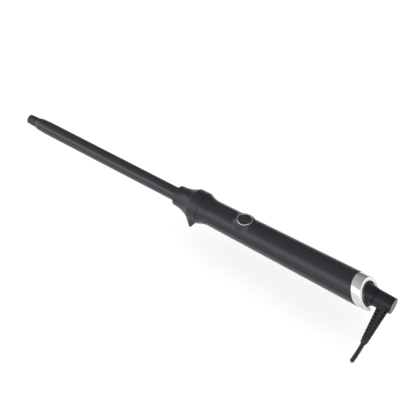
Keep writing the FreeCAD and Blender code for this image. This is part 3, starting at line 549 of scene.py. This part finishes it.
def shell_vertices(rows, turns_at):
    """Rows of points along the shell, with the last rows drawn out to the slanted rear edge."""
    vertices = [shell_point(x, turn) for x in rows for turn in turns_at(x)]
    tail, ring_gap, rear_r = span(0, 1, 0.2)[1:], 0.15, handle_radius(200)
    for share in tail:
        for turn in turns_at(REAR_START):
            end = RING_FRONT - ring_gap - SLANT * rear_r * math.cos(turn)
            vertices.append(shell_point(REAR_START + (end - REAR_START) * share, turn))
    return vertices, len(rows) + len(tail)


def make_upper_shell():
    """The upper shell, which closes to a full ring ahead of the parting line."""
    front = GUARD_REAR + 0.1
    edge_x = SEAM_X - SEAM_ARC - SEAM_GAP
    count, extra = 241, 24
    rows = span(front, front + 0.5, 0.05) + span(front + 0.5, edge_x, 0.35)[1:] + shell_rows(edge_x)[1:]

    def turns_at(x):
        limit = seam_turn(max(x, edge_x + 0.02), SEAM_GAP)
        return [limit * (2 * step / (count - 1) - 1) for step in range(count)]

    vertices, row_count = shell_vertices(rows, turns_at)
    faces = grid_faces(row_count, count, wrap_columns=False)
    limit = seam_turn(edge_x + 0.02, SEAM_GAP)
    closing = [limit + (2 * math.pi - 2 * limit) * step / extra for step in range(extra + 1)]
    front_rows = [x for x in rows if x <= edge_x + 0.001]
    faces += grid_faces(len(front_rows), extra + 1, wrap_columns=False, start=len(vertices))
    vertices += [shell_point(x, turn) for x in front_rows for turn in closing]
    shell = make_object("upper_shell_skin", vertices, faces, LOOKS["soft_touch"], 60)
    thicken(shell)
    cut_with(shell, upright_rod(BUTTON_R + 0.05, 8, 20, BUTTON_X, count=160))
    soften(shell, 0.14, 40)
    ride(shell, "handle", "soft_touch", "handle_upper_shell")


def thicken(shell):
    """Give an open skin its wall, inwards."""
    mesh = shell.data
    outward = sum(face.normal.y * face.center.y + face.normal.z * face.center.z for face in mesh.polygons)
    if outward < 0:
        mesh.flip_normals()
    wall = shell.modifiers.new("wall", "SOLIDIFY")
    wall.thickness = WALL * MM
    wall.offset = -1
    wall.use_even_offset = True
    bake(shell)


def make_lower_shell():
    """The lower shell, with the recesses of its two screws."""
    count = 181
    edge_x = SEAM_X - SEAM_ARC
    rows = shell_rows(edge_x + 0.005)

    def turns_at(x):
        limit = seam_turn(x, 0)
        return [limit + (2 * math.pi - 2 * limit) * step / (count - 1) for step in range(count)]

    vertices, row_count = shell_vertices(rows, turns_at)
    shell = make_object("lower_shell_skin", vertices, grid_faces(row_count, count, wrap_columns=False),
                        LOOKS["soft_touch"], 60)
    thicken(shell)
    for x in SCREW_PLACES:
        cut_with(shell, upright_rod(SCREW_RECESS_R, -20, -5, x))
    soften(shell, 0.14, 40)
    ride(shell, "handle", "soft_touch", "handle_lower_shell")


# ---- button --------------------------------------------------------------------------------------

def crowned(name, profile, material, top, closed, count=128):
    """A (r, height) profile turned about the button's upright axis and bent over the seat's crown."""
    vertices = []
    for radius, height in profile:
        for turn in even_turns(count):
            y = radius * math.sin(turn)
            vertices.append((BUTTON_X + radius * math.cos(turn), y, crown(y, top) + height))
    return make_object(name, vertices, grid_faces(len(profile), count, wrap_rows=closed), material)


def make_button():
    """The chrome bead round the button, and the cap with its stem."""
    inside, bead, bead_top, bead_foot = BUTTON_R - 0.85, 0.42, 0.12, -1.2
    ring = rounded([(inside, bead_foot), (inside, bead_top, bead), (BUTTON_R, bead_top, bead),
                    (BUTTON_R, bead_foot)], 10)
    obj = crowned("button_ring_skin", ring, LOOKS["chrome_trim"], SEAT_TOP + 0.15, True)
    ride(obj, "handle", "chrome_trim", "button_ring")
    cap_r, cap_foot, stem_r, stem_foot = inside - 0.1, -2.2, 1.6, -5.0
    cap = rounded([(0, -0.1), (cap_r - 2.5, -0.02, 9), (cap_r, 0.0, 0.45), (cap_r, cap_foot)], 10)
    cap += [Vector((stem_r, cap_foot)), Vector((stem_r, stem_foot)), Vector((0, stem_foot))]
    obj = crowned("button_cap_skin", cap, LOOKS["gloss_black"], SEAT_TOP - 0.2, False)
    ride(obj, "power_button", "gloss_black", "button_cap")


# ---- rear end ------------------------------------------------------------------------------------

NOTCH_FRONT, NOTCH_HALF = 214.5, 4.8
RECESS_R, RECESS_DEPTH = 6.75, 1.3
INSERT_RECESS, FLANGE_DEPTH, LIP_R, HOLLOW_R = 1.2, 4.0, 9.3, 2.4


def make_ring():
    """The slanted ring: a rounded section swept round the axis, with a notch in its underside."""
    inside, count = 13, 256
    section = rounded([(0, inside), (0, RING_R, 0.3), (RING_WIDTH, RING_R, 0.45),
                       (RING_WIDTH, RING_BORE, 0.45), (0, RING_BORE, 0.3), (0, inside)], 6)[:-1]
    vertices = [on_circle(RING_FRONT + along - SLANT * radius * math.cos(turn), radius, turn)
                for along, radius in section for turn in even_turns(count)]
    faces = grid_faces(len(section), count, wrap_rows=True)
    ring = make_object("end_ring_skin", vertices, faces, LOOKS["chrome_trim"])
    cut_with(ring, box_cutter((NOTCH_FRONT, 230), (-NOTCH_HALF, NOTCH_HALF), (-20, -6)))
    soften(ring, 0.25, 50)
    ring.data.materials.append(LOOKS["satin_chrome"])
    for face in ring.data.polygons:
        if face.normal.dot(Vector((1, 0, SLANT)).normalized()) > 0.98:
            face.material_index = 1
    ride(ring, "handle", "chrome_trim", "end_ring")


def nose_radius(x):
    """The insert's cone: straight at first, then narrowing towards the elbow."""
    return LIP_R - max(0, x - (NOSE_REAR - 5)) * 0.8 / 4.4


def make_insert():
    """The nose inside the ring: a slanted shoulder with a hollow fillet, then a plain cone."""
    count = 192
    seat, edge_r = RING_FRONT + RING_WIDTH - INSERT_RECESS, RING_BORE - 0.1
    wide = math.acos(1 - (edge_r - LIP_R) / HOLLOW_R)
    fillet = HOLLOW_R * math.sin(wide)

    def shoulder_x(radius, turn):
        return seat - SLANT * radius * math.cos(turn)

    vertices = [on_circle(shoulder_x(radius, turn) - FLANGE_DEPTH, radius, turn)
                for radius in (7.6, edge_r) for turn in even_turns(count)]
    for bend in span(wide, 0, math.pi / 48):
        radius = LIP_R + HOLLOW_R * (1 - math.cos(bend))
        along = fillet - HOLLOW_R * math.sin(bend)
        vertices += [on_circle(shoulder_x(RING_BORE, turn) + along, radius, turn)
                     for turn in even_turns(count)]
    for share in span(0, 1, 0.1)[1:]:
        for turn in even_turns(count):
            start = shoulder_x(RING_BORE, turn) + fillet
            x = start + (NOSE_REAR - 0.4 - start) * share
            vertices.append(on_circle(x, nose_radius(x), turn))
    for x, radius in ((NOSE_REAR - 0.1, 8.35), (NOSE_REAR, 8.0), (NOSE_REAR, 7.5), (204, 7.6)):
        vertices += circle(x, radius, count)
    faces = grid_faces(len(vertices) // count, count, wrap_rows=True)
    nose = make_object("insert_skin", vertices, faces, LOOKS["swivel_black"], 40)
    polish_groove(nose, seat + fillet + 0.4)
    ride(nose, "handle", "swivel_black", "end_insert")


def polish_groove(nose, limit):
    """The hollow groove ahead of a slanted limit is polished."""
    nose.data.materials.append(LOOKS["polished_black"])
    for face in nose.data.polygons:
        middle = face.center / MM
        if math.hypot(middle.y, middle.z) > LIP_R + 0.01 and middle.x + SLANT * middle.z < limit:
            face.material_index = 1


def make_elbow():
    """The swivel's barrel-shaped elbow with its hollow shaft."""
    front, rear = NOSE_REAR + 0.4, ELBOW_REAR
    bore, shaft_r, journal_r, journal_front = 3, 4.5, 5.95, 200
    shaft = [(SHAFT_FRONT, bore), (SHAFT_FRONT, shaft_r), (journal_front, shaft_r),
             (journal_front, journal_r), (front, journal_r)]
    drum = [(front, 8.3, 0.5), (rear, 7.6, 0.6), (rear, RECESS_R, 0.15)]
    recess = [(rear - RECESS_DEPTH, RECESS_R), (rear - RECESS_DEPTH, bore)]
    skin = lathe("elbow_skin", rounded(shaft + drum + recess, 8), LOOKS["swivel_black"], closed=True)
    ride(skin, "cord_swivel", "swivel_black", "swivel_elbow")


def make_end_cap():
    """The grey disc set into the elbow's end."""
    radius, face = RECESS_R - 0.05, ELBOW_REAR - 0.1
    disc = rounded([(ELBOW_REAR - RECESS_DEPTH, 0), (ELBOW_REAR - RECESS_DEPTH, radius), (face, radius, 0.3),
                    (face, 5.9), (face - 0.08, 0)], 6)
    ride(lathe("end_cap_skin", disc, LOOKS["end_grey"]), "cord_swivel", "end_grey", "elbow_end_cap")


# ---- cord ----------------------------------------------------------------------------------------

BOOT_TURN = math.radians(119)
BOOT_ALONG = Vector((0, -math.sin(BOOT_TURN), math.cos(BOOT_TURN)))
BOOT_UP = Vector((0, math.cos(BOOT_TURN), math.sin(BOOT_TURN)))
BOOT_FOOT = Vector((SWIVEL_PLACE, 0, 0))
BOOT_START, BOOT_SHOULDER, BOOT_END = 5.6, 39.0, 42.0
CORD_R, CORD_END, CORD_BEND = 2.0, 60.5, 150.0
CORE_R, CORE_PLACE, CORE_END = 0.85, 0.91, 0.8
STRANDS, STRAND_R, STRAND_RING, STRAND_TWIST = 6, 0.16, 0.32, 0.9
SLOT_TURN, SLOT_FIRST, SLOT_PITCH, SLOT_COUNT = math.radians(32), 9.0, 3.25, 9
SLOT_SIDE, SLOT_HALF = 1.75, 0.68


def cord_point(along, across, up):
    """A point by its length along the cord from the elbow's axis and its offsets from the cord's line."""
    straight = BOOT_END + 0.5
    angle = max(0.0, along - straight) / CORD_BEND
    line = Vector((CORD_BEND * (math.cos(angle) - 1), 0, min(along, straight) + CORD_BEND * math.sin(angle)))
    side = Vector((math.cos(angle), 0, math.sin(angle)))
    spot = line + side * across
    return BOOT_FOOT + Vector((1, 0, 0)) * spot.x + BOOT_ALONG * spot.z + BOOT_UP * up


def cord_circle(along, radius, count, across=0.0, up=0.0):
    """A row of points round the cord's line, or round a line beside it."""
    return [cord_point(along, across + radius * math.cos(turn), up + radius * math.sin(turn))
            for turn in even_turns(count)]


def tube(name, sections, material, count=48):
    """A closed tube along the cord from (along, radius, across, up) sections."""
    vertices = []
    for along, radius, across, up in sections:
        vertices += cord_circle(along, radius, count, across, up)
    faces = grid_faces(len(sections), count)
    faces.append(tuple(range(count)))
    faces.append(tuple(range(len(vertices) - count, len(vertices))))
    return make_object(name, vertices, faces, material)


def boot_radius(along):
    """The boot tapers slowly, then rounds in to its end."""
    taper = 5.3 - 0.064 * (min(along, BOOT_SHOULDER) - 8.0)
    return taper - max(0, along - BOOT_SHOULDER) ** 1.6 * 0.16


def slot_depth(along, turn, radius):
    """How deep the boot's surface is let in at a place, from none to the full depth of a slot."""
    depth = 0.0
    for side in range(4):
        away = turn - SLOT_TURN - side * math.pi / 2
        if math.cos(away) < 0.3:
            continue
        across = abs(radius * math.sin(away))
        first = SLOT_FIRST + (SLOT_PITCH / 2 if side % 2 else 0.0)
        nearest = round((along - first) / SLOT_PITCH)
        if not 0 <= nearest < SLOT_COUNT:
            continue
        apart = abs(along - first - SLOT_PITCH * nearest)
        inside = 1 - smooth_step(across, SLOT_SIDE, SLOT_SIDE + 0.4)
        inside *= 1 - smooth_step(apart, SLOT_HALF, SLOT_HALF + 0.32)
        depth = max(depth, inside * (radius - CORD_R - 0.3))
    return depth


def make_boot():
    """The rubber boot, whose staggered slots are let into its surface."""
    count, throat_r = 180, CORD_R + 0.1
    rows = span(BOOT_START, BOOT_SHOULDER, 0.14) + span(BOOT_SHOULDER, BOOT_END, 0.25)[1:]
    vertices = []
    for along in rows:
        radius = boot_radius(along)
        for turn in even_turns(count):
            reach = radius - slot_depth(along, turn, radius)
            vertices.append(cord_point(along, reach * math.cos(turn), reach * math.sin(turn)))
    vertices += cord_circle(BOOT_END + 0.05, throat_r, count) + cord_circle(BOOT_START, throat_r, count)
    faces = grid_faces(len(rows) + 2, count, wrap_rows=True)
    boot = make_object("boot_skin", vertices, faces, LOOKS["cord_rubber"], 60)
    ride(boot, "cord_swivel", "cord_rubber", "cord_boot")


def make_cord():
    """The cord's stub: its jacket, and at its cut end two cores with bared strands."""
    rows = [(along, CORD_R, 0, 0) for along in span(10, CORD_END - 0.3, 1.0)]
    rows += [(CORD_END - 0.1, CORD_R - 0.07, 0, 0), (CORD_END, CORD_R - 0.25, 0, 0)]
    ride(tube("jacket_skin", rows, LOOKS["cord_rubber"]), "cord_swivel", "cord_rubber", "cord_jacket")
    for side, label in ((-1, "near"), (1, "far")):
        up = side * CORE_PLACE
        rim = CORD_END + CORE_END
        core = [(along, CORE_R, 0, up) for along in span(CORD_END - 1, rim - 0.1, 0.4)] + [(rim, 0.78, 0, up)]
        core_skin = tube("core_skin_" + label, core, LOOKS["core_insulation"], 32)
        ride(core_skin, "cord_swivel", "core_insulation")
        strands = join("strands_" + label, [strand(index, up) for index in range(STRANDS + 1)])
        ride(strands, "cord_swivel", "copper")
        if side < 0:
            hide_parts("cord_cores")
            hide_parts("cord_conductors")


def strand(index, up):
    """One thin wire of a twisted conductor: the first runs straight and the others turn round it."""
    start, stop = CORD_END + 0.4, CORD_END + 1.5
    twist = 0.0 if index == 0 else STRAND_RING
    rows = []
    for along in span(start, stop, 0.14):
        turn = 2 * math.pi * index / STRANDS + (along - start) * STRAND_TWIST
        rows.append((along, STRAND_R, twist * math.cos(turn), up + twist * math.sin(turn)))
    return tube("strand", rows, LOOKS["copper"], 10)


def join(name, parts):
    """One object from several, which are dropped."""
    whole = bmesh.new()
    for part in parts:
        whole.from_mesh(part.data)
        bpy.data.objects.remove(part)
    mesh = bpy.data.meshes.new(name)
    whole.to_mesh(mesh)
    whole.free()
    mesh.materials.append(LOOKS["copper"])
    obj = bpy.data.objects.new(name, mesh)
    bpy.context.scene.collection.objects.link(obj)
    return obj


# ---- camera, light and stage ---------------------------------------------------------------------

def make_camera():
    """A long lens from behind the cord end, on the near side and well above, tipped by under a degree."""
    turn, lift, tip, reach = math.radians(35.19), math.radians(44.986), math.radians(0.772), 0.93882
    aim = Vector((37.168, 1.838, 0)) * MM
    back = Vector((math.sin(turn) * math.cos(lift), -math.cos(turn) * math.cos(lift), math.sin(lift)))
    camera = bpy.data.objects.new("camera", bpy.data.cameras.new("camera"))
    bpy.context.scene.collection.objects.link(camera)
    camera.location = aim + back * reach
    camera.rotation_euler = (back.to_track_quat("Z", "Y") @ Quaternion((0, 0, 1), tip)).to_euler()
    camera.data.sensor_width = 36
    camera.data.lens = 83.653
    camera.data.clip_end = 20
    bpy.context.scene.camera = camera


def make_stage():
    """A wide pale paper floor, a little below the cord's end."""
    half, level = 4.0, (CORD_LOW - 30) * MM
    corners = [(-half, -half, level), (half, -half, level), (half, half, level), (-half, half, level)]
    mesh = bpy.data.meshes.new("floor")
    mesh.from_pydata(corners, [], [(0, 1, 2, 3)])
    floor = bpy.data.objects.new("floor", mesh)
    bpy.context.scene.collection.objects.link(floor)
    shader = Shader("floor_paper")
    paper = shader.mix(shader.noise(60, 3), (0.93, 0.93, 0.93, 1), (0.95, 0.95, 0.95, 1))
    shader.put(shader.surface.inputs["Base Color"], paper)
    shader.surface.inputs["Roughness"].default_value = 0.9
    shader.surface.inputs["Specular IOR Level"].default_value = 0.1
    floor.data.materials.append(shader.material)


NEAR_SKY = ((0.0, 0.3), (0.2, 0.62), (0.35, 0.68), (0.55, 0.62), (0.68, 0.36), (0.76, 0.23), (0.9, 0.2))
FAR_SKY = ((0.0, 0.06), (0.35, 0.08), (0.7, 0.14), (0.9, 0.16))


def make_world():
    """A studio sky: a broad soft light on the near side, dim behind, and bright low down."""
    world = bpy.data.worlds.new("studio")
    bpy.context.scene.world = world
    world.use_nodes = True
    tree = world.node_tree
    place = tree.nodes.new("ShaderNodeTexCoord")
    split = tree.nodes.new("ShaderNodeSeparateXYZ")
    tree.links.new(place.outputs["Generated"], split.inputs["Vector"])
    near = sky_ramp(tree, split.outputs["Z"], NEAR_SKY)
    far = sky_ramp(tree, split.outputs["Z"], FAR_SKY)
    side = tree.nodes.new("ShaderNodeMapRange")
    tree.links.new(split.outputs["Y"], side.inputs["Value"])
    side.inputs["From Min"].default_value = 0.03
    side.inputs["From Max"].default_value = -0.03
    blend = tree.nodes.new("ShaderNodeMix")
    blend.data_type = "RGBA"
    tree.links.new(side.outputs["Result"], blend.inputs["Factor"])
    tree.links.new(far, blend.inputs["A"])
    tree.links.new(near, blend.inputs["B"])
    tree.links.new(blend.outputs["Result"], tree.nodes["Background"].inputs["Color"])
    tree.nodes["Background"].inputs["Strength"].default_value = 3.6
    show_backdrop(tree)
    bpy.context.scene.view_settings.view_transform = "Standard"


def show_backdrop(tree):
    """What the camera itself sees past the floor is plain and pale, whatever the sky is like."""
    backdrop = tree.nodes.new("ShaderNodeBackground")
    backdrop.inputs["Color"].default_value = (0.95, 0.95, 0.95, 1)
    rays = tree.nodes.new("ShaderNodeLightPath")
    choice = tree.nodes.new("ShaderNodeMixShader")
    tree.links.new(rays.outputs["Is Camera Ray"], choice.inputs["Fac"])
    tree.links.new(tree.nodes["Background"].outputs["Background"], choice.inputs[1])
    tree.links.new(backdrop.outputs["Background"], choice.inputs[2])
    tree.links.new(choice.outputs["Shader"], tree.nodes["World Output"].inputs["Surface"])


def sky_ramp(tree, height, stops):
    """Brightness by the height of the direction looked in."""
    ramp = tree.nodes.new("ShaderNodeValToRGB")
    tree.links.new(height, ramp.inputs["Fac"])
    for index, (place_at, level) in enumerate(stops):
        stop = ramp.color_ramp.elements[index] if index < 2 else ramp.color_ramp.elements.new(place_at)
        stop.position = place_at
        stop.color = (level, level, level, 1)
    return ramp.outputs["Color"]


def make_overhead_light():
    """A broad soft light above the wand, not seen in its reflections."""
    light = bpy.data.lights.new("overhead", "AREA")
    light.shape = "RECTANGLE"
    light.size = light.size_y = 3.0
    light.energy = 24
    lamp = bpy.data.objects.new("overhead", light)
    bpy.context.scene.collection.objects.link(lamp)
    lamp.location = (0, 0, 2.0)
    lamp.visible_glossy = False


make_barrel()
make_tip()
make_guard()
make_upper_shell()
make_lower_shell()
make_button()
make_ring()
make_insert()
make_elbow()
make_end_cap()
make_boot()
make_cord()
make_camera()
make_stage()
make_world()
make_overhead_light()
